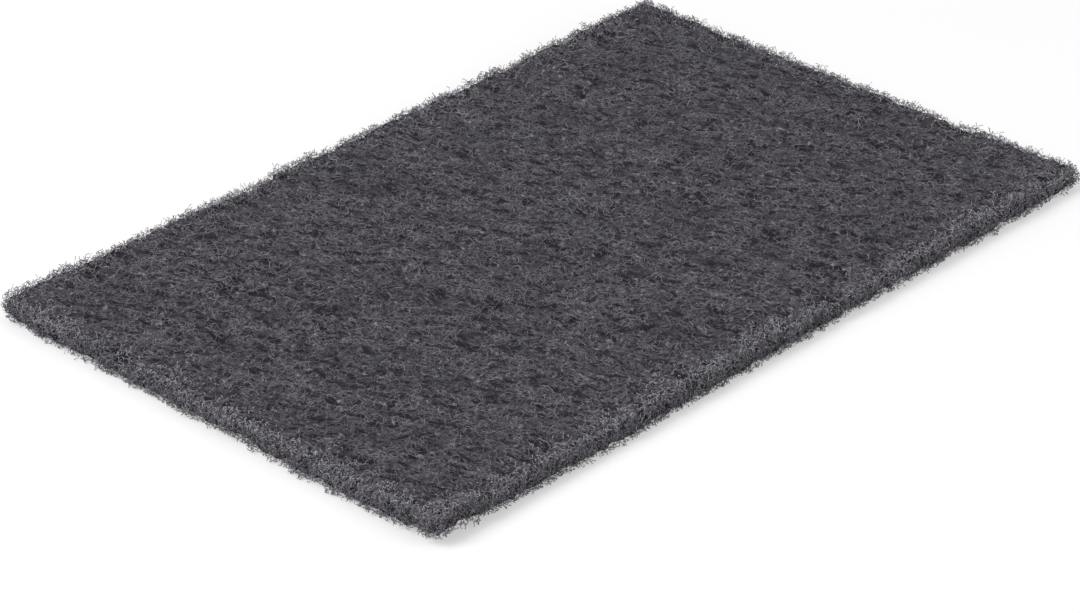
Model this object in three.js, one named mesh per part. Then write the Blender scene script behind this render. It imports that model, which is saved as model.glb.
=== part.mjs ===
// A hand pad of lofty non-woven abrasive web: one rectangle cut from a sheet of crimped nylon fibre,
// resin and grit. Both faces are pressed to the same thickness, so the fibre stands in level lands with
// pits between them. The cut edges are ragged and rounded over, and the corners curl up a little.
import * as THREE from "three";
import { ImprovedNoise } from "three/addons/math/ImprovedNoise.js";
import { mergeVertices } from "three/addons/utils/BufferGeometryUtils.js";

// Driving dimensions, in millimetres
const PAD_LENGTH = 229; // along X
const PAD_WIDTH = 152; // along Y
const PAD_THICKNESS = 6.4; // from land to land, along Z
const EDGE_RADIUS = 1.4; // where the cut edges round over
const PIT_SPACING = 13; // between neighbouring pits in a face
const PIT_DEPTH = 1.6; // of the deepest pit
const CUT_SPACING = 14; // between neighbouring bulges along a cut edge
const CUT_RAGGEDNESS = 0.8; // how far a cut edge wanders in and out
const CELL_SIZE = 4; // of the surface's squares
const CURL_REACH = 46; // how far in from a corner its curl starts

// How far each corner curls up, by the signs of its X and Y
const CORNER_CURLS = [
  { x: -1, y: -1, lift: 2.0 },
  { x: -1, y: 1, lift: 0.4 },
  { x: 1, y: 1, lift: 0.3 },
  { x: 1, y: -1, lift: 0.5 },
];

const TOP_PATTERN = 2.5; // the slice of the noise that the upper face is cut from
const UNDERSIDE_PATTERN = 4.5; // and the underside
const PIT_STARTS = 0.08; // noise below this is level land, and above it a pit
const PIT_ENDS = 0.55; // noise that reaches the full depth
const EDGE_ROWS = 3; // squares across a cut edge

const noise = new ImprovedNoise();
const half = new THREE.Vector3(PAD_LENGTH, PAD_WIDTH, PAD_THICKNESS).multiplyScalar(0.5);

// Cells along a side: whole squares, and one narrow strip beside each cut edge for its round-over.
function cellsAlong(size) {
  return Math.round((size - 2 * EDGE_RADIUS) / CELL_SIZE) + 2;
}

// Moves an evenly spaced grid line so that the first and last strips are as wide as the edge radius.
function toGridLine(place, size, cells) {
  const line = Math.round((place / size + 0.5) * cells);
  if (line === 0 || line === cells) return place;
  return -size / 2 + EDGE_RADIUS + ((line - 1) * (size - 2 * EDGE_RADIUS)) / (cells - 2);
}

// The depth of the pits at a point of a face. The noise has a pit in every other cell, so a cell is half
// the spacing. Each face has its own pattern.
function pitDepth(point) {
  const cell = PIT_SPACING / 2;
  const pattern = point.z > 0 ? TOP_PATTERN : UNDERSIDE_PATTERN;
  const found = noise.noise(point.x / cell, point.y / cell, pattern);
  return PIT_DEPTH * THREE.MathUtils.smoothstep(found, PIT_STARTS, PIT_ENDS);
}

// How far a cut edge stands out, or in, at a point.
function cutWander(point) {
  const scaled = point.clone().divideScalar(CUT_SPACING / 2);
  return CUT_RAGGEDNESS * noise.noise(scaled.x, scaled.y, scaled.z);
}

// The lift of the corners' curl at a point, level with the rest of the pad at the start of its reach.
function curlLift(point) {
  return CORNER_CURLS.reduce((sum, corner) => {
    const away = Math.hypot(corner.x * half.x - point.x, corner.y * half.y - point.y);
    return sum + corner.lift * Math.max(0, 1 - away / CURL_REACH) ** 2;
  }, 0);
}

// Takes a point of the plain block to its place on the pad.
function shapePoint(block, lengthCells, widthCells) {
  const point = block.clone();
  point.x = toGridLine(block.x, PAD_LENGTH, lengthCells);
  point.y = toGridLine(block.y, PAD_WIDTH, widthCells);

  const core = half.clone().subScalar(EDGE_RADIUS);
  const inner = point.clone().clamp(core.clone().negate(), core);
  const outward = point.clone().sub(inner).normalize();
  const faceShare = Math.abs(outward.z);
  const stand = EDGE_RADIUS - pitDepth(point) * faceShare + cutWander(point) * (1 - faceShare);

  const shaped = inner.addScaledVector(outward, stand);
  shaped.z += curlLift(shaped);
  return shaped;
}

function padGeometry() {
  const lengthCells = cellsAlong(PAD_LENGTH);
  const widthCells = cellsAlong(PAD_WIDTH);
  const block = new THREE.BoxGeometry(
    PAD_LENGTH, PAD_WIDTH, PAD_THICKNESS, lengthCells, widthCells, EDGE_ROWS,
  );
  block.deleteAttribute("normal");
  block.deleteAttribute("uv");

  const geometry = mergeVertices(block);
  const places = geometry.getAttribute("position");
  const point = new THREE.Vector3();
  for (let i = 0; i < places.count; i += 1) {
    point.fromBufferAttribute(places, i);
    const shaped = shapePoint(point, lengthCells, widthCells);
    places.setXYZ(i, shaped.x, shaped.y, shaped.z);
  }

  // The origin is under the middle of the pad, on the surface that it lies on.
  geometry.computeBoundingBox();
  const { min, max } = geometry.boundingBox;
  geometry.translate(-(min.x + max.x) / 2, -(min.y + max.y) / 2, -min.z);
  geometry.computeVertexNormals();
  return geometry;
}

const webFinish = new THREE.MeshStandardMaterial({ color: 0x4e4c51, roughness: 0.9, metalness: 0 });

const pad = new THREE.Mesh(padGeometry(), webFinish);
pad.name = "abrasive_pad";

const part = new THREE.Group();
part.add(pad);

export default part;
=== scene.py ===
# A dark grey hand pad of non-woven abrasive web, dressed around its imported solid.
# The web's body fills the solid, and crimped fibres lie over it and stick out of its cut edges.
import math

import bpy
import numpy as np
from mathutils import Matrix, Quaternion, Vector
from mathutils.bvhtree import BVHTree


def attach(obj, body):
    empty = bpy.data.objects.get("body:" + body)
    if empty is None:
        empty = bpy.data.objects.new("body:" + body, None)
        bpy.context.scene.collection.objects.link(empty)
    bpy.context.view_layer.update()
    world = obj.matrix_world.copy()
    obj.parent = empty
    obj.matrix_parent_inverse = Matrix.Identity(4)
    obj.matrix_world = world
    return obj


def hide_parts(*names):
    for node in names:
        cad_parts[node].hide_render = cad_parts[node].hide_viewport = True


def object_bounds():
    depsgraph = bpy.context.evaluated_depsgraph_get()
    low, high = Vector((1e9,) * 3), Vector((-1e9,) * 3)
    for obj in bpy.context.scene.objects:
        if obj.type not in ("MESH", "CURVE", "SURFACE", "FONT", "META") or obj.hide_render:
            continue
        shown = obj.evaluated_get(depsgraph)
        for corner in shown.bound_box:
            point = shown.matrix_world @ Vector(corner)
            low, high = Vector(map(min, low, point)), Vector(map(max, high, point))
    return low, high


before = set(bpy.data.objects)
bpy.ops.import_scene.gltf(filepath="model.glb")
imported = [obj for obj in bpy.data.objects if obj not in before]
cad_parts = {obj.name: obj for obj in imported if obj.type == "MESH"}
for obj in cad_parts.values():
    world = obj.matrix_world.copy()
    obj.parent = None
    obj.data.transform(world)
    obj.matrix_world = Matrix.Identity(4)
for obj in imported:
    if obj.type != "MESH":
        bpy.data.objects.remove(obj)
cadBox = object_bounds()
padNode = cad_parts["abrasive_pad"]
mm = 0.001
print("frame loaded")


def deselectAll():
    bpy.ops.object.select_all(action="DESELECT")


def pickOnly(piece):
    deselectAll()
    piece.select_set(True)
    bpy.context.view_layer.objects.active = piece


noiseMiddle = 0.5  # of the range that noises and ramps have


# Shader maths: a wire is a socket that can be added, multiplied and so on
class Wire:
    def __init__(self, finish, socket):
        self.finish = finish
        self.socket = socket

    def __add__(self, other):
        return self.finish.maths("ADD", self, other)

    def __radd__(self, other):
        return self.finish.maths("ADD", other, self)

    def __sub__(self, other):
        return self.finish.maths("SUBTRACT", self, other)

    def __rsub__(self, other):
        return self.finish.maths("SUBTRACT", other, self)

    def __mul__(self, other):
        return self.finish.maths("MULTIPLY", self, other)

    def __rmul__(self, other):
        return self.finish.maths("MULTIPLY", other, self)

    def __abs__(self):
        return self.finish.maths("ABSOLUTE", self)


class Finish:
    def __init__(self, name, tree=None):
        if tree is None:
            self.material = bpy.data.materials.new(name)
            self.material.use_nodes = True
            tree = self.material.node_tree
        self.tree = tree
        self.tree.nodes.clear()

    # one node: its settings first, then the values or links of its sockets
    def node(self, kind, settings=None, sockets=None, out=0):
        made = self.tree.nodes.new(kind)
        for name, value in (settings or {}).items():
            setattr(made, name, value)
        for name, value in (sockets or {}).items():
            if isinstance(value, Wire):
                self.tree.links.new(value.socket, made.inputs[name])
            else:
                made.inputs[name].default_value = value
        return Wire(self, made.outputs[out]) if len(made.outputs) else made

    def maths(self, operation, *values):
        return self.node("ShaderNodeMath", {"operation": operation}, dict(enumerate(values)))

    # for colours the node's sockets are 6, 7 and, going out, 2
    def mixColours(self, share, first, second, blend="MIX"):
        settings = {"data_type": "RGBA", "blend_type": blend}
        return self.node("ShaderNodeMix", settings, {0: share, 6: first, 7: second}, out=2)

    def noise(self, spot, size, detail=2.0, away=(0, 0, 0)):
        moved = self.node("ShaderNodeVectorMath", {"operation": "ADD"}, {0: spot, 1: away})
        return self.node("ShaderNodeTexNoise", None,
                         {"Vector": moved, "Scale": 1 / size, "Detail": detail}, out="Fac")

    # how far spots lie from the nearest line of a net, in cells
    def net(self, spot, cell, away):
        moved = self.node("ShaderNodeVectorMath", {"operation": "ADD"}, {0: spot, 1: away})
        return self.node("ShaderNodeTexVoronoi",
                         {"feature": "DISTANCE_TO_EDGE", "voronoi_dimensions": "2D"},
                         {"Vector": moved, "Scale": 1 / cell}, out="Distance")

    def ramp(self, value, low, high):
        return self.node("ShaderNodeMapRange", {"interpolation_type": "SMOOTHSTEP"},
                         {"Value": value, "From Min": low, "From Max": high})

    # 1 for rays that should meet the white room as the camera does
    def straightRays(self):
        seen = 0.0
        for kind in ("Is Camera Ray", "Is Glossy Ray", "Is Transmission Ray"):
            seen = self.maths("MAXIMUM", self.node("ShaderNodeLightPath", out=kind), seen)
        return seen

    def finishWith(self, shader):
        self.node("ShaderNodeOutputMaterial", None, {"Surface": shader})
        return self.material


# The way the web was laid: its patches, pits, pores and fibres are longer along this line
webLay = {
    "angle": math.radians(-70),  # from the pad's length
    "patchStretch": 3.2,
    "pitStretch": 2.4,
    "fibreStretch": 1.4,
    "poreStretch": 1.8,
}


def layFrame(stretch):
    return Matrix.Rotation(webLay["angle"], 3, "Z") @ Matrix.Diagonal((stretch, 1, 1))


def laidSpots(finish, stretch):
    spot = finish.node("ShaderNodeTexCoord", out="Object")
    return finish.node("ShaderNodeMapping", {"vector_type": "TEXTURE"}, {
        "Vector": spot, "Rotation": (0, 0, webLay["angle"]), "Scale": (stretch, 1, 1)})


# Broad patches that the web and its fibres share, lighter and darker, more plum and more moss, with
# dashes of painted shade in them
webPatches = {
    "toneSize": 8 * mm,
    "toneStrength": 1.2,
    "toneAway": (0.02, 0.05, 0.01),  # where in the noise each pattern is read
    "dashSize": 2.4 * mm,
    "dashAway": (0.06, 0.01, 0.03),
    "dashEdge": (0.52, 0.62),
    "dashShade": (0.35, 0.30),  # painted shade of dimples: deep in the web, and over it
    "tintSize": 9 * mm,
    "tintAway": (0.3, 0.1, 0),
    "tintEdge": (0.35, 0.65),
    "plumTint": (1.026, 0.991, 1.012, 1),
    "mossTint": (0.974, 1.009, 0.988, 1),
}


def dashDepth(finish):
    laid = laidSpots(finish, webLay["pitStretch"])
    spots = finish.noise(laid, webPatches["dashSize"], away=webPatches["dashAway"])
    return finish.ramp(spots, *webPatches["dashEdge"])


def patchTone(finish, dash):
    laid = laidSpots(finish, webLay["patchStretch"])
    patch = finish.noise(laid, webPatches["toneSize"], away=webPatches["toneAway"])
    # painted shade in the dashes
    darker = webPatches["dashShade"][1] * dash
    return (1 + webPatches["toneStrength"] * (patch - noiseMiddle)) * (1 - darker)


def tinted(finish, colour):
    laid = laidSpots(finish, webLay["pitStretch"])
    patch = finish.noise(laid, webPatches["tintSize"], away=webPatches["tintAway"])
    patch = finish.ramp(patch, *webPatches["tintEdge"])
    tint = finish.mixColours(patch, webPatches["mossTint"], webPatches["plumTint"])
    return finish.mixColours(1.0, colour, tint, "MULTIPLY")


# The web seen between the fibres: deep fibre with pores painted dark as shade, under lighter lines
webLook = {
    "poreShadeColour": (0.0130, 0.0112, 0.0152, 1),
    "lineColour": (0.261, 0.243, 0.280, 1),
    # each pair is for the deepest layer of lines and for the uppermost
    "layers": 7,
    "layerAway": (0.013, 0.029, 0.041),  # from one layer's pattern to the next
    "lineCells": (1.3 * mm, 2.3 * mm),  # how far a line wanders
    "lineSharpness": (14.0, 34.0),
    # the deeper layers' lines are darker, as painted shade of the web's depth
    "lineTones": (0.10, 1.00),
    "netLayer": 4,  # the layers from this one up are nets of even lines
    "netCell": 1.7 * mm,
    "netBend": 2.2 * mm,  # how far the nets are pushed to and fro, so that their lines curl
    "netBendDetail": 1.0,
    "netLine": 0.12 * mm,  # from the middle of a line to where it ends
    # painted shade: the pores are dark holes in the web, and the uppermost lines cross over them
    "poreSize": 1.5 * mm,
    "poreDetail": 3.0,
    "poreAway": (0.07, 0.02, 0.05),
    "poreEdge": (0.515, 0.57),
    "poreGather": 0.16,  # how much more of a dash they take up
    "poreLayer": 6,  # the layers from this one up cross over the pores
    "poreShade": 1.0,
    "paintedRimHighlight": 1.0,  # painted highlight: how much lighter the lines are along the upper rim
    "pitShade": 0.35,  # painted shade: how much darker the lines are at the bottom of a pit
    "pitEdge": (0.35, 1.05),
    "bump": 0.3 * mm,
    "roughness": 0.75,
    "specular": 0.1,
}


def webFinish():
    look = webLook
    finish = Finish("abrasive_web")
    laid = laidSpots(finish, webLay["fibreStretch"])
    poreSpots = laidSpots(finish, webLay["poreStretch"])
    dash = dashDepth(finish)
    hollow = finish.noise(poreSpots, look["poreSize"], look["poreDetail"], look["poreAway"])
    pore = finish.ramp(hollow + look["poreGather"] * (dash - noiseMiddle), *look["poreEdge"])
    lowTone, highTone = look["lineTones"]
    swirl = finish.node("ShaderNodeTexNoise", None, {
        "Vector": laid, "Scale": 1 / look["netCell"], "Detail": look["netBendDetail"]}, out="Color")
    bent = finish.node("ShaderNodeVectorMath", {"operation": "MULTIPLY_ADD"},
                       {0: swirl, 1: [look["netBend"]] * 3, 2: laid})
    tone = 0.0
    for layer in range(look["layers"]):
        share = layer / (look["layers"] - 1)
        cell, sharpness = (low + (high - low) * share
                           for low, high in (look["lineCells"], look["lineSharpness"]))
        away = [step * layer for step in look["layerAway"]]
        if layer < look["netLayer"]:
            fall = abs(finish.noise(laid, cell, away=away) - noiseMiddle) * sharpness
        else:
            fall = finish.net(bent, look["netCell"], away) * (look["netCell"] / look["netLine"])
        line = finish.maths("MAXIMUM", 1 - fall, 0.0)
        # painted shade: the pores and dashes darken the layers below, and the uppermost lines cross
        # over them
        if layer == look["poreLayer"]:
            tone = tone * (1 - look["poreShade"] * pore) * (1 - webPatches["dashShade"][0] * dash)
        # each layer of lines lies over those below it, the deeper ones darker in painted shade
        tone = tone + (lowTone * (highTone / lowTone) ** share - tone) * line
    pit = finish.node("ShaderNodeAttribute", {"attribute_name": "pitDepth"}, out="Fac")
    rim = finish.node("ShaderNodeAttribute", {"attribute_name": "rimHighlightMask"}, out="Fac")
    # painted shade at the bottoms of the pits
    pitted = look["pitShade"] * finish.ramp(pit, *look["pitEdge"])
    # painted highlight: the lines are lighter along the upper rim
    shade = tone * (1 - pitted) * patchTone(finish, dash) * (1 + look["paintedRimHighlight"] * rim)
    colour = tinted(finish, finish.mixColours(shade, look["poreShadeColour"], look["lineColour"]))
    bump = finish.node("ShaderNodeBump", None, {"Distance": look["bump"], "Height": tone})
    return finish.finishWith(finish.node("ShaderNodeBsdfPrincipled", None, {
        "Base Color": colour, "Roughness": look["roughness"], "Normal": bump,
        "Specular IOR Level": look["specular"]}))


# The fibres: nylon under a coat of grey resin and grit, each strand a tone of its own
fibreLook = {
    "darkTone": (0.088, 0.082, 0.095, 1),
    "lightTone": (0.255, 0.238, 0.276, 1),
    "cutDarkTone": (0.0925, 0.0902, 0.1015, 1),  # where the web is cut it is less red
    "cutLightTone": (0.382, 0.371, 0.412, 1),
    "roughness": 0.5,
    "specular": 0.4,
    "gritSize": 0.35 * mm,
    "gritTone": 0.6,
    "gritRoughness": 0.3,
}


def fibreFinish(name, darkTone, lightTone):
    look = fibreLook
    finish = Finish(name)
    tone = finish.node("ShaderNodeAttribute", {"attribute_name": "strandTone"}, out="Fac")
    grit = finish.noise(finish.node("ShaderNodeTexCoord", out="Object"), look["gritSize"]) - noiseMiddle
    gritted = finish.maths("MAXIMUM", tone + grit * look["gritTone"], 0.0)
    # the fibres share the web's patches and the painted shade of its dashes
    shade = gritted * patchTone(finish, dashDepth(finish))
    colour = tinted(finish, finish.mixColours(shade, darkTone, lightTone))
    return finish.finishWith(finish.node("ShaderNodeBsdfPrincipled", None, {
        "Base Color": colour, "Roughness": look["roughness"] + look["gritRoughness"] * grit,
        "Specular IOR Level": look["specular"]}))


# How far points lie inside the pad's outline
def rimDistance(points):
    return (np.array(cadBox[1][:2]) - np.abs(points[..., :2])).min(-1)


# Pits between the fibres, the same for the body and for the fibres that go round them
webPits = {
    "size": 1.9 * mm,
    "contrast": 2.5,
    "depth": 0.6 * mm,
    "rim": 0.8,  # above this the web is a pit
}
pitPattern = bpy.data.textures.new("web_pits", "CLOUDS")
pitPattern.noise_scale = webPits["size"]
pitPattern.noise_depth = 1
pitPattern.contrast = webPits["contrast"]
pitPattern.use_clamp = True


def sampleAt(texture, points):
    return np.array([texture.evaluate(point)[3] for point in points.reshape(-1, 3).tolist()])


def pitDepths(points):
    return sampleAt(pitPattern, points @ np.array(layFrame(webLay["pitStretch"]).inverted()).T)


# The body of the web: a copy of the solid, sunk below the fibres, pitted and roughened
webBody = {
    "weld": 0.01 * mm,  # corners of the solid this near become one
    "sink": 0.35 * mm,  # how far it lies below the solid's skin
    "edgeInset": 0.2 * mm,  # and how much further in at the cut edges
    "grain": 1.1 * mm,  # its mesh size
    "lumpSize": 1.6 * mm,
    "lumpHeight": 0.2 * mm,
    "rimHighlightFade": 2.0 * mm,  # how far in from the cut edges the painted rim highlight fades
}


def makeWebBody(finish):
    pickOnly(padNode)
    bpy.ops.object.duplicate()
    body = bpy.context.view_layer.objects.active
    body.name = body.data.name = "web_body"
    body.parent = None
    bpy.ops.object.mode_set(mode="EDIT")
    bpy.ops.mesh.select_all(action="SELECT")
    bpy.ops.mesh.remove_doubles(threshold=webBody["weld"])
    bpy.ops.transform.shrink_fatten(value=-webBody["sink"])
    narrower = [1 - 2 * webBody["edgeInset"] / (cadBox[1][axis] - cadBox[0][axis]) for axis in (0, 1)]
    bpy.ops.transform.resize(value=(*narrower, 1))
    bpy.ops.object.mode_set(mode="OBJECT")
    body.data.remesh_voxel_size = webBody["grain"]
    bpy.ops.object.voxel_remesh()
    places = np.zeros(3 * len(body.data.vertices), np.float32)
    body.data.vertices.foreach_get("co", places)
    places = places.reshape(-1, 3)
    # where the painted rim highlight falls: near the cut edges, and more so the higher up
    rimHighlightMask = np.exp(-rimDistance(places) / webBody["rimHighlightFade"]) * places[:, 2] / cadBox[1][2]
    measures = {"pitDepth": pitDepths(places), "rimHighlightMask": rimHighlightMask}
    for name, values in measures.items():
        body.data.attributes.new(name, "FLOAT", "POINT").data.foreach_set("value", values)
    bpy.ops.object.empty_add(rotation=(0, 0, webLay["angle"]), scale=(webLay["pitStretch"], 1, 1))
    layGuide = bpy.context.object
    pickOnly(body)
    lumps = bpy.data.textures.new("web_lumps", "CLOUDS")
    lumps.noise_scale = webBody["lumpSize"]
    # each with its height, and the level that stays where it is
    roughening = [(pitPattern, -webPits["depth"], 0.0), (lumps, webBody["lumpHeight"], noiseMiddle)]
    for pattern, height, level in roughening:
        rough = body.modifiers.new("rough", "DISPLACE")
        rough.texture = pattern
        rough.texture_coords = "OBJECT"
        rough.texture_coords_object = layGuide
        rough.strength = height
        rough.mid_level = level
        bpy.ops.object.modifier_apply(modifier=rough.name)
    bpy.data.objects.remove(layGuide)
    bpy.ops.object.shade_smooth()
    body.data.materials.clear()
    body.data.materials.append(finish)
    return body


# The solid's skin, for fibres to start from and follow
skinMesh = padNode.data
skinCorners = np.array([[skinMesh.vertices[i].co for i in face.vertices] for face in skinMesh.polygons])
skinNormals = np.array([face.normal for face in skinMesh.polygons])
skinAreas = np.array([face.area for face in skinMesh.polygons])
skin = BVHTree.FromPolygons([tuple(corner) for corner in skinCorners.reshape(-1, 3)],
                            np.arange(3 * len(skinAreas)).reshape(-1, 3).tolist())


def onSkin(points):
    found = [skin.find_nearest(point)[:2] for point in points.tolist()]
    return np.array([place for place, _ in found]), np.array([normal for _, normal in found])


def unit(vectors):
    return vectors / np.linalg.norm(vectors, axis=-1, keepdims=True)


# Random places on the faces that a mask picks
def scatter(rng, count, mask):
    weights = skinAreas * mask
    faces = rng.choice(len(weights), count, p=weights / weights.sum())
    a, b = rng.random((2, count, 1))
    over = a + b > 1
    a, b = np.where(over, 1 - a, a), np.where(over, 1 - b, b)
    corners = skinCorners[faces]
    return corners[:, 0] + a * (corners[:, 1] - corners[:, 0]) + b * (corners[:, 2] - corners[:, 0])


# Strands that walk over the skin, turning a little at each stride
def walkStrands(rng, starts, turns, stride):
    place, normal = onSkin(starts)
    heading = rng.normal(size=place.shape) @ np.array(layFrame(webLay["fibreStretch"])).T
    course, upward = [place], [normal]
    for turn in turns.T[:, :, None]:
        heading = unit(heading - normal * (heading * normal).sum(1, keepdims=True))
        heading = heading * np.cos(turn) + np.cross(normal, heading) * np.sin(turn)
        place, normal = onSkin(place + heading * stride)
        course.append(place)
        upward.append(normal)
    return np.stack(course, 1), np.stack(upward, 1)


# Crimp: each strand's turns swing to and fro, with a drift of their own
def crimpTurns(rng, count, strides, stride, crimp):
    along = np.arange(strides) * stride
    wave = crimp["wave"] * rng.uniform(*crimp["waveRange"], (count, 1))
    swing = np.sin(2 * math.pi * (along / wave + rng.random((count, 1))))
    drift = rng.normal(0, crimp["drift"], (count, 1))
    swing = swing * crimp["swing"] * rng.uniform(*crimp["swingRange"], (count, 1))
    return swing + drift + rng.normal(0, crimp["jitter"], (count, strides))


# What every strand's mesh has in common
strandMesh = {
    "sides": 3,
    "weld": 0.001 * mm,  # closes the caps at its ends
}


# The section that strands are swept with
def strandSection(radius):
    section = bpy.data.curves.new("strand_section", "CURVE")
    section.dimensions = "2D"
    ring = section.splines.new("POLY")
    ring.points.add(strandMesh["sides"] - 1)
    ring.use_cyclic_u = True
    for number, point in enumerate(ring.points):
        angle = 2 * math.pi * number / strandMesh["sides"]
        point.co = (radius * math.cos(angle), radius * math.sin(angle), 0, 1)
    holder = bpy.data.objects.new("strand_section", section)
    bpy.context.scene.collection.objects.link(holder)
    return holder


# Turns strands into one mesh, with each strand's tone kept as an attribute
def sweepStrands(name, points, widths, tones, radius, finish):
    section = strandSection(radius)
    bundle = bpy.data.curves.new(name, "CURVE")
    bundle.dimensions = "3D"
    bundle.bevel_mode = "OBJECT"
    bundle.bevel_object = section
    bundle.use_fill_caps = True
    steps, sides = points.shape[1], strandMesh["sides"]
    weighted = np.concatenate([points, np.ones((*points.shape[:2], 1))], 2)
    for place, width in zip(weighted, widths):
        strand = bundle.splines.new("POLY")
        strand.points.add(steps - 1)
        strand.points.foreach_set("co", place.ravel())
        strand.points.foreach_set("radius", width)
    piece = bpy.data.objects.new(name, bundle)
    bpy.context.scene.collection.objects.link(piece)
    pickOnly(piece)
    bpy.ops.object.convert(target="MESH")
    piece = bpy.context.view_layer.objects.active
    piece.data.name = name
    bpy.data.objects.remove(section)
    toneOfPoint = piece.data.attributes.new("strandTone", "FLOAT", "POINT")
    # the ends' caps come first in the mesh, from the last strand to the first
    pointTones = np.concatenate([np.repeat(tones[::-1], 2 * sides), np.repeat(tones, steps * sides)])
    toneOfPoint.data.foreach_set("value", pointTones)
    bpy.ops.object.mode_set(mode="EDIT")
    bpy.ops.mesh.select_all(action="SELECT")
    bpy.ops.mesh.remove_doubles(threshold=strandMesh["weld"])
    bpy.ops.mesh.normals_make_consistent(inside=False)
    bpy.ops.object.mode_set(mode="OBJECT")
    bpy.ops.object.shade_smooth()
    piece.data.materials.clear()
    piece.data.materials.append(finish)
    print(name, len(piece.data.vertices), "points,", len(piece.data.polygons), "faces")
    return piece


floorGap = 0.2 * mm  # what the strands keep from the table, where they turn up again
deepestTone, palestTone = 0, 1.2  # that a strand can have


# Fibres that lie over the faces and the cut edges, round the pits, dipping into the web at both ends
lyingFibres = {
    "upper_fibres": {"count": 4400, "side": 1, "pieces": 2, "peak": (-0.3 * mm, 0.3 * mm),
                     "tone": 0.55, "seed": 11},
    "under_fibres": {"count": 1100, "side": -1, "pieces": 1, "peak": (-0.4 * mm, -0.1 * mm),
                     "tone": 0.5, "seed": 12},
    "edge_fibres": {"count": 1200, "side": 0, "pieces": 1, "peak": (-0.3 * mm, 0.4 * mm),
                    "tone": 0.35, "seed": 13},
}
lyingStrand = {
    "strides": 8,
    "stride": 0.55 * mm,
    "radius": 0.06 * mm,
    "widths": (0.75, 1.25),  # of one strand against another
    "swells": (0.8, 1.2),  # and of one strand along its way
    "toneSpread": 0.26,
    "faceSlope": 0.6,  # faces are where the skin's normal rises or falls more than this
    "edgeSlope": 0.88,  # and cut edges where it does so less than this
    "dip": 0.5 * mm,  # how deep the ends go
    "dipPower": (2.5, 6.0),  # the higher, the nearer to its ends a strand dips
    "jitter": 0.08 * mm,
    "weave": {"height": 0.25 * mm, "wave": 2.6 * mm},
    "crimp": {"wave": 3.6 * mm, "waveRange": (0.7, 1.4), "swing": 0.65, "swingRange": (0.4, 1.3),
              "drift": 0.3, "jitter": 0.25},
    "spare": 1.8,  # strands tried for each one that is kept
}


def makeLyingFibres(name, plan, finish):
    rng = np.random.default_rng(plan["seed"])
    strand = lyingStrand
    slope = skinNormals[:, 2]
    onEdge, onFace = np.abs(slope) < strand["edgeSlope"], slope * plan["side"] > strand["faceSlope"]
    mask = onFace if plan["side"] else onEdge
    tried = int(plan["count"] * strand["spare"])
    starts = scatter(rng, tried, mask)
    turns = crimpTurns(rng, tried, strand["strides"], strand["stride"], strand["crimp"])
    course, upward = walkStrands(rng, starts, turns, strand["stride"])
    pitted = pitDepths(course).reshape(tried, -1) > webPits["rim"]
    clear = np.argsort(pitted.sum(1), kind="stable")[:plan["count"]]
    course, upward = course[np.sort(clear)], upward[np.sort(clear)]
    count = len(course)
    along = np.linspace(-1, 1, strand["strides"] + 1)
    peak = rng.uniform(*plan["peak"], (count, 1))
    lift = peak - (peak + strand["dip"]) * np.abs(along) ** rng.uniform(*strand["dipPower"], (count, 1))
    weave = strand["weave"]
    phase = np.arange(strand["strides"] + 1) * strand["stride"] / weave["wave"] + rng.random((count, 1))
    lift += weave["height"] * np.sin(2 * math.pi * phase) + rng.normal(0, strand["jitter"], lift.shape)
    points = course + upward * lift[:, :, None]
    points[:, :, 2] = np.abs(points[:, :, 2] - floorGap) + floorGap
    widths = rng.uniform(*strand["widths"], (count, 1)) * rng.uniform(*strand["swells"], lift.shape)
    tones = np.clip(rng.normal(plan["tone"], strand["toneSpread"], count), deepestTone, palestTone)
    pieces = []
    for number, part in enumerate(np.array_split(np.arange(count), plan["pieces"])):
        label = name if plan["pieces"] == 1 else f"{name}_{number + 1}"
        pieces.append(sweepStrands(label, points[part], widths[part], tones[part],
                                   strand["radius"], finish))
    return pieces


# Loose ends and loops that make a lace round the cut edges, in tufts
edgeLace = {
    "count": 26000,
    "pieces": 3,
    "strides": 3,
    "stride": 0.36 * mm,
    "strideRange": (0.75, 1.25),  # of one stride against another
    "lean": 0.8,  # how far strands set out from straight up
    "curl": 0.85,  # turn at each stride, in radians
    "curlSpread": 0.25,
    "radius": 0.073 * mm,
    "widths": (0.7, 1.2),  # of one strand against another
    "swells": (0.85, 1.15),  # and of one strand along its way
    "clot": 1.8,  # how much thicker the resin at a loose end is
    "clotPower": 3,  # the higher, the nearer to its end a strand thickens
    "lengths": (0.5, 1.3),  # of a strand, against the strides above
    "tuftLengths": (0.5, 1.5),  # times this in the hollows between tufts, and on their tops
    "rimLengths": (0.8, 1.15),  # and times this on the cut face, and up on its rim
    "tuftSize": 3.0 * mm,
    "tuftContrast": 2.0,
    "tuftRise": 0.7 * mm,  # from the hollows between tufts to their tops
    "starts": (-0.9 * mm, 0.35 * mm),  # from the skin
    "rim": 2.2 * mm,  # how far over the upper face it thins out
    "rimsTried": 4,  # how many times that far in spots are tried
    "spare": 5,  # spots tried for each one that is kept
    "lowestSlope": -0.9,  # none start where the skin's normal falls more than this
    "tones": (0.27, 0.65),  # on the cut face, and up on its rim, where a painted highlight makes them lighter
    "toneSpread": 0.25,
    "rimSlope": (0.25, 0.6),  # the upward slope where the rim starts, and where it is whole
    "seed": 17,
}


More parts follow.
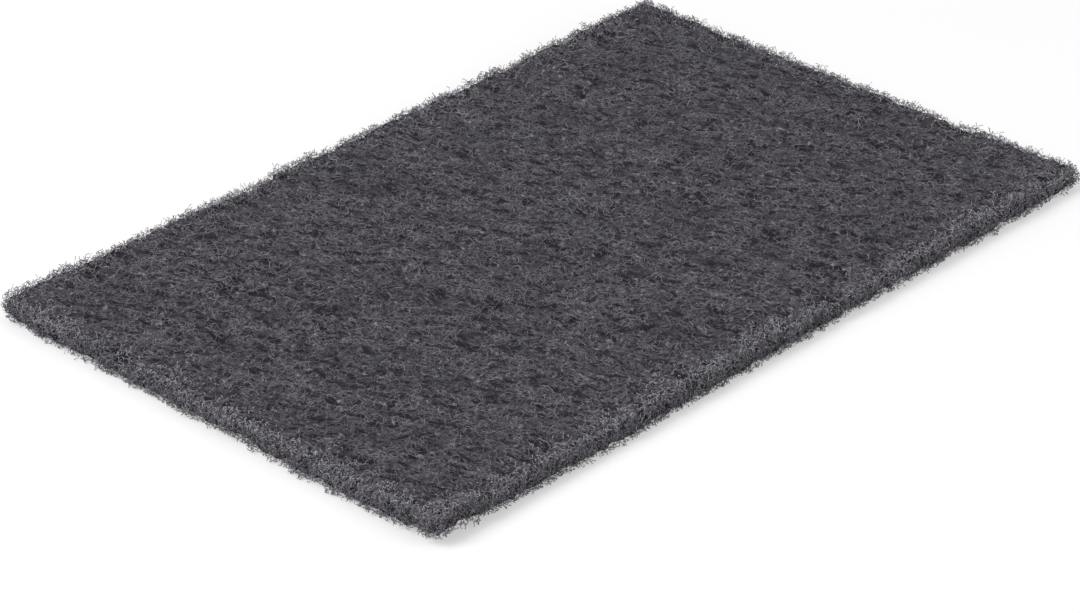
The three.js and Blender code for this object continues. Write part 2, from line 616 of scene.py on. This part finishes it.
def makeEdgeLace(finish):
    rng = np.random.default_rng(edgeLace["seed"])
    count, strides = edgeLace["count"], edgeLace["strides"]
    rimFaces = rimDistance(skinCorners).min(1) < edgeLace["rimsTried"] * edgeLace["rim"]
    mask = rimFaces * (skinNormals[:, 2] > edgeLace["lowestSlope"])
    spots = scatter(rng, edgeLace["spare"] * count, mask)
    near = rimDistance(spots) < rng.exponential(edgeLace["rim"], len(spots))
    place, normal = onSkin(spots[near][:count])
    tufts = bpy.data.textures.new("edge_tufts", "CLOUDS")
    tufts.noise_scale = edgeLace["tuftSize"]
    tufts.contrast = edgeLace["tuftContrast"]
    tuft = sampleAt(tufts, place)[:, None]
    onRim = np.interp(normal[:, 2], edgeLace["rimSlope"], (0, 1))
    hollowLength, topLength = edgeLace["tuftLengths"]
    tuftLength = hollowLength + (topLength - hollowLength) * tuft
    reach = edgeLace["stride"] * tuftLength * rng.uniform(*edgeLace["lengths"], (count, 1))
    reach = reach * np.interp(onRim, (0, 1), edgeLace["rimLengths"])[:, None]
    heading = unit(normal + rng.normal(0, edgeLace["lean"], place.shape))
    axis = unit(np.cross(heading, rng.normal(size=place.shape)))
    turn = rng.normal(edgeLace["curl"], edgeLace["curlSpread"], (count, 1))
    height = rng.uniform(*edgeLace["starts"], (count, 1)) + edgeLace["tuftRise"] * (tuft - noiseMiddle)
    course = [place + normal * height]
    for _ in range(strides):
        course.append(course[-1] + heading * reach * rng.uniform(*edgeLace["strideRange"], (count, 1)))
        heading = heading * np.cos(turn) + np.cross(axis, heading) * np.sin(turn)
    points = np.stack(course, 1)
    points[:, :, 2] = np.abs(points[:, :, 2] - floorGap) + floorGap
    clot = np.linspace(0, 1, strides + 1) ** edgeLace["clotPower"] * (edgeLace["clot"] - 1) + 1
    widths = rng.uniform(*edgeLace["widths"], (count, 1)) \
        * rng.uniform(*edgeLace["swells"], points.shape[:2]) * clot
    # painted highlight: strands facing up on the rim are lighter
    tones = np.interp(onRim, (0, 1), edgeLace["tones"]) + rng.normal(0, edgeLace["toneSpread"], count)
    tones = np.clip(tones, deepestTone, palestTone)
    pieces = []
    for number, part in enumerate(np.array_split(np.arange(count), edgeLace["pieces"])):
        pieces.append(sweepStrands(f"edge_lace_{number + 1}", points[part], widths[part], tones[part],
                                   edgeLace["radius"], finish))
    return pieces


# The photograph's camera
photoView = {
    "eye": (-0.60333, -0.60382, 0.46917),
    "target": (-0.02550, -0.02080, 0.0032),
    "roll": math.radians(-1.5),  # the frame's right side dips
    "lens": 129.78,
    "farthest": 50,
}


def placeCamera():
    eye, target = Vector(photoView["eye"]), Vector(photoView["target"])
    aim = (target - eye).to_track_quat("-Z", "Y") @ Quaternion((0, 0, 1), photoView["roll"])
    deselectAll()
    bpy.ops.object.camera_add(location=eye, rotation=aim.to_euler())
    camera = bpy.context.object
    camera.name = "photo_camera"
    camera.data.lens = photoView["lens"]
    camera.data.clip_end = photoView["farthest"]
    bpy.context.scene.camera = camera


# A white table, soft lamps and a pale room
studio = {
    "floorSize": 20,
    "floorColour": (0.55, 0.55, 0.55, 1),
    "floorRoughness": 0.9,
    "floorGlow": 0.4,
    "roomLight": 0.5,
    "lamps": {
        "key_lamp": {"from": (-1.3, 0.45, 1.3), "size": 1.0, "power": 29},
        "fill_lamp": {"from": (0.3, -1.5, 0.8), "size": 1.2, "power": 9.5},
    },
}


def layFloor():
    deselectAll()
    bpy.ops.mesh.primitive_plane_add(size=studio["floorSize"], location=(0, 0, 0))
    floor = bpy.context.object
    floor.name = floor.data.name = "white_table"
    finish = Finish("white_table")
    seen = finish.straightRays()
    floor.data.materials.append(finish.finishWith(finish.node("ShaderNodeBsdfPrincipled", None, {
        "Base Color": studio["floorColour"], "Roughness": studio["floorRoughness"],
        "Specular IOR Level": 0.0,
        "Emission Color": finish.mixColours(seen, (0, 0, 0, 1), (1, 1, 1, 1)),
        "Emission Strength": studio["floorGlow"]})))


def lightStudio():
    for name, lamp in studio["lamps"].items():
        spot = Vector(lamp["from"])
        deselectAll()
        bpy.ops.object.light_add(type="AREA", location=spot,
                                 rotation=(-spot).to_track_quat("-Z", "Y").to_euler())
        light = bpy.context.object
        light.name = light.data.name = name
        light.data.energy = lamp["power"]
        light.data.size = lamp["size"]
    world = bpy.data.worlds.new("pale_room")
    world.use_nodes = True
    room = Finish("pale_room", world.node_tree)
    seen = room.straightRays()
    strength = seen + (1 - seen) * studio["roomLight"]
    air = room.node("ShaderNodeBackground", None, {"Color": (1, 1, 1, 1), "Strength": strength})
    room.node("ShaderNodeOutputWorld", None, {"Surface": air})
    bpy.context.scene.world = world
    bpy.context.scene.view_settings.view_transform = "Standard"


placeCamera()
layFloor()
lightStudio()
print("camera, table and lamps placed")

webMaterial = webFinish()
fibreMaterial = fibreFinish("coated_fibre", fibreLook["darkTone"], fibreLook["lightTone"])
cutMaterial = fibreFinish("cut_fibre", fibreLook["cutDarkTone"], fibreLook["cutLightTone"])
body = makeWebBody(webMaterial)
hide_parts("abrasive_pad")
print("web body made,", len(body.data.polygons), "faces")

padPieces = [body]
for fibreName, fibrePlan in lyingFibres.items():
    coating = fibreMaterial if fibrePlan["side"] else cutMaterial
    padPieces += makeLyingFibres(fibreName, fibrePlan, coating)
padPieces += makeEdgeLace(cutMaterial)
for piece in padPieces:
    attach(piece, "root")
print("fibres laid")

bpy.context.view_layer.update()
